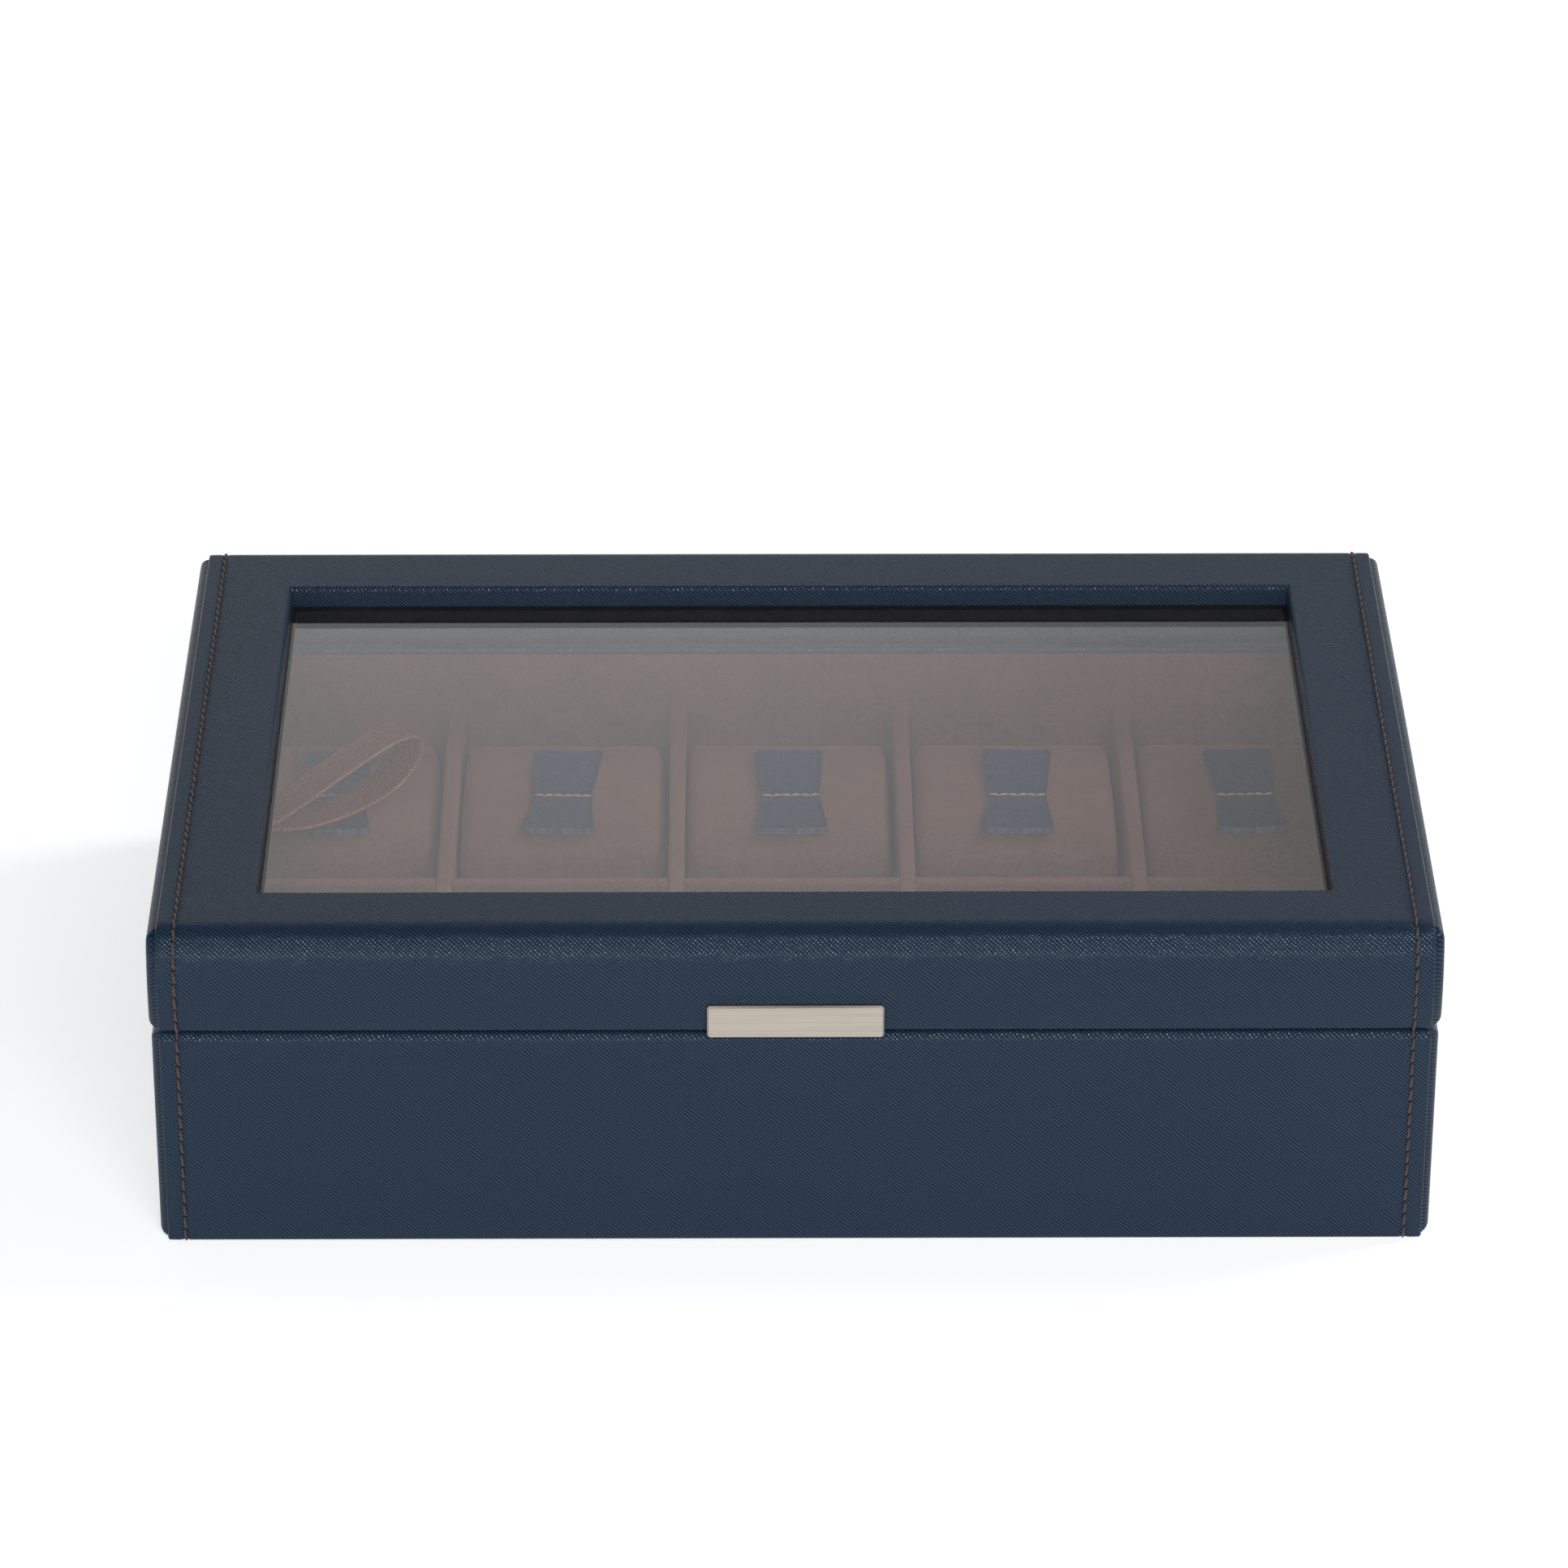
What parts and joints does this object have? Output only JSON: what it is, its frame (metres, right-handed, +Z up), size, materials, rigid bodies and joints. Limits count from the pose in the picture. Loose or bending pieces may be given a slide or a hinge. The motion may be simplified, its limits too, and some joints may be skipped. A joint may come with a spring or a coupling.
{
  "type": "watch box",
  "caption": "Leather-covered watch box with a glazed hinged lid, padded sides, suede-lined compartments and a soft lift-out cushion with a pull tab in each.",
  "frame": {"origin": "middle of the underside, on the surface that the box stands on", "axes": "+X to the right seen from the front, +Y to the back where the hinges are, +Z up"},
  "size_m": [0.3046, 0.2064, 0.084],
  "materials": {
    "navy_leather": "cross-grained, satin, brown stitching",
    "suede": "soft matte nap",
    "board": "raw fibreboard, hidden under the covers",
    "clear_glass": "clear, polished",
    "brushed_nickel": "finely brushed, warm",
    "satin_ribbon": "woven satin with beaded edges",
    "base_felt": "short felt"
  },
  "bodies": {
    "base": {"base_front_board": "board", "base_back_board": "board", "base_left_board": "board", "base_right_board": "board", "base_floor_board": "board", "underside_sheet": "base_felt", "base_front_leather": "navy_leather", "base_back_leather": "navy_leather", "base_left_pad": "navy_leather", "base_right_pad": "navy_leather", "floor_lining": "suede", "front_wall_lining": "suede", "back_wall_lining": "suede", "left_wall_lining": "suede", "right_wall_lining": "suede", "long_divider": "suede", "cross_divider_1": "suede", "cross_divider_2": "suede", "cross_divider_3": "suede", "cross_divider_4": "suede", "left_hinge_base_leaf": "brushed_nickel", "right_hinge_base_leaf": "brushed_nickel", "hinge_pins": "brushed_nickel", "hinge_base_screws": "brushed_nickel", "stay_ribbon": "satin_ribbon"},
    "lid": {"lid_frame_board": "board", "lid_front_rail": "board", "lid_back_rail": "board", "lid_left_rail": "board", "lid_right_rail": "board", "lid_leather": "navy_leather", "lid_left_pad": "navy_leather", "lid_right_pad": "navy_leather", "window_glass": "clear_glass", "window_retainer": "suede", "lid_wall_lining": "suede", "front_plate": "brushed_nickel", "left_hinge_lid_leaf": "brushed_nickel", "right_hinge_lid_leaf": "brushed_nickel", "hinge_lid_screws": "brushed_nickel"},
    "watch_cushion_1": {"cushion_1": "suede", "pull_tab_1": "navy_leather"},
    "watch_cushion_2": {"cushion_2": "suede", "pull_tab_2": "navy_leather"},
    "watch_cushion_3": {"cushion_3": "suede", "pull_tab_3": "navy_leather"},
    "watch_cushion_4": {"cushion_4": "suede", "pull_tab_4": "navy_leather"},
    "watch_cushion_5": {"cushion_5": "suede", "pull_tab_5": "navy_leather"},
    "watch_cushion_6": {"cushion_6": "suede", "pull_tab_6": "navy_leather"},
    "watch_cushion_7": {"cushion_7": "suede", "pull_tab_7": "navy_leather"},
    "watch_cushion_8": {"cushion_8": "suede", "pull_tab_8": "navy_leather"},
    "watch_cushion_9": {"cushion_9": "suede", "pull_tab_9": "navy_leather"},
    "watch_cushion_10": {"cushion_10": "suede", "pull_tab_10": "navy_leather"}
  },
  "joints": [
    {"name": "lid_hinge", "type": "hinge", "parent": "base", "child": "lid", "pos_m": [0, 0.1016, 0.0579], "axis": [-1, 0, 0], "range_deg": [0, 85], "deforming": ["stay_ribbon"]},
    {"name": "cushion_1_lift", "type": "slide", "parent": "base", "child": "watch_cushion_1", "axis": [0, 0, 1], "range_m": [0, 0.033]},
    {"name": "cushion_2_lift", "type": "slide", "parent": "base", "child": "watch_cushion_2", "axis": [0, 0, 1], "range_m": [0, 0.033]},
    {"name": "cushion_3_lift", "type": "slide", "parent": "base", "child": "watch_cushion_3", "axis": [0, 0, 1], "range_m": [0, 0.033]},
    {"name": "cushion_4_lift", "type": "slide", "parent": "base", "child": "watch_cushion_4", "axis": [0, 0, 1], "range_m": [0, 0.033]},
    {"name": "cushion_5_lift", "type": "slide", "parent": "base", "child": "watch_cushion_5", "axis": [0, 0, 1], "range_m": [0, 0.033]},
    {"name": "cushion_6_lift", "type": "slide", "parent": "base", "child": "watch_cushion_6", "axis": [0, 0, 1], "range_m": [0, 0.033]},
    {"name": "cushion_7_lift", "type": "slide", "parent": "base", "child": "watch_cushion_7", "axis": [0, 0, 1], "range_m": [0, 0.033]},
    {"name": "cushion_8_lift", "type": "slide", "parent": "base", "child": "watch_cushion_8", "axis": [0, 0, 1], "range_m": [0, 0.033]},
    {"name": "cushion_9_lift", "type": "slide", "parent": "base", "child": "watch_cushion_9", "axis": [0, 0, 1], "range_m": [0, 0.033]},
    {"name": "cushion_10_lift", "type": "slide", "parent": "base", "child": "watch_cushion_10", "axis": [0, 0, 1], "range_m": [0, 0.033]}
  ]
}
